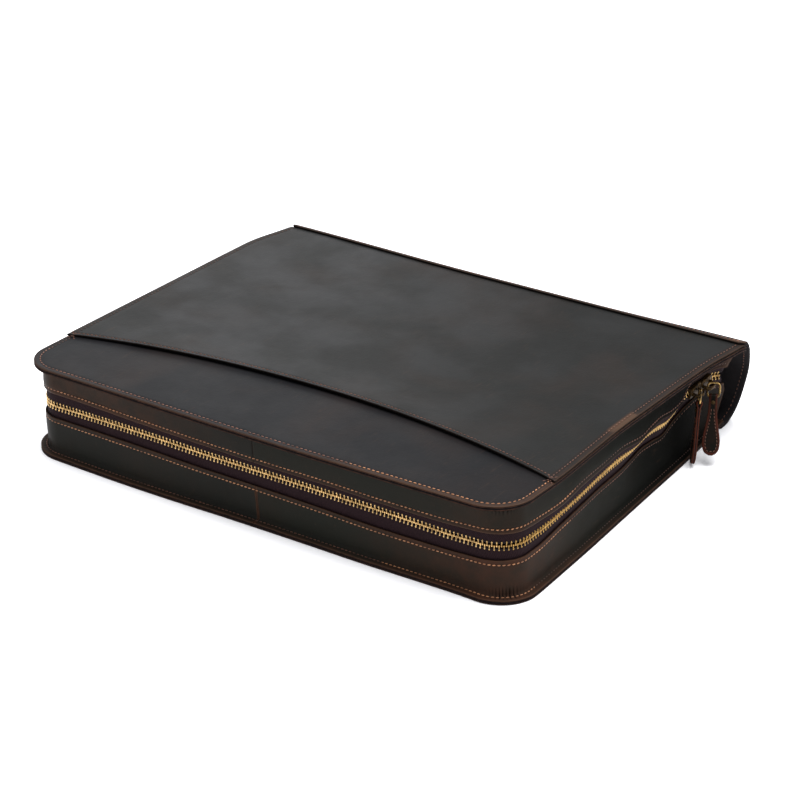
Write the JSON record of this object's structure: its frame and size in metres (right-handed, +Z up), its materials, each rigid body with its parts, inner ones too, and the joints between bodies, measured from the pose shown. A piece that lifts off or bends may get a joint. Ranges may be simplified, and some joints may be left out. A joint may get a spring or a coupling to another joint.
{
  "type": "leather document case",
  "caption": "Zip-round waxed leather document case lying closed, with an open pocket on top, stitched seam edges, a lapped spine, brass zip and hanging leather pulls.",
  "frame": {"origin": "middle of the whole object's box, on the floor", "axes": "+X to the side with the zip pulls, along the case's width; +Y from the front to the spine; +Z up through the top cover"},
  "size_m": [0.38, 0.3012, 0.0648],
  "materials": {
    "waxed_leather": "waxed pull-up leather, dark charcoal brown, raw worn edges",
    "pocket_leather": "waxed pull-up leather, charcoal, slightly lighter than the cover",
    "spine_leather": "waxed pull-up leather, dark brown, stitched edges",
    "gusset_leather": "waxed pull-up leather, dark brown",
    "zip_tape_cloth": "woven zip tape, dark purple brown",
    "zip_brass": "golden brass zip teeth",
    "antique_brass": "antique brass, darkened",
    "pull_leather": "reddish brown leather, dark on its faces"
  },
  "bodies": {
    "root": {"top_cover": "waxed_leather", "bottom_cover": "waxed_leather", "pocket_panel": "pocket_leather", "spine_panel": "spine_leather", "upper_gusset_left": "gusset_leather", "upper_gusset_right": "gusset_leather", "lower_gusset_left": "gusset_leather", "lower_gusset_right": "gusset_leather", "upper_zip_tape": "zip_tape_cloth", "lower_zip_tape": "zip_tape_cloth", "zip_chain": "zip_brass", "slider_front": "antique_brass", "slider_back": "antique_brass", "pull_ring_front": "antique_brass", "pull_ring_back": "antique_brass", "pull_tab_front": "pull_leather", "pull_tab_back": "pull_leather", "pull_rivet_front": "antique_brass", "pull_rivet_back": "antique_brass"}
  },
  "joints": []
}
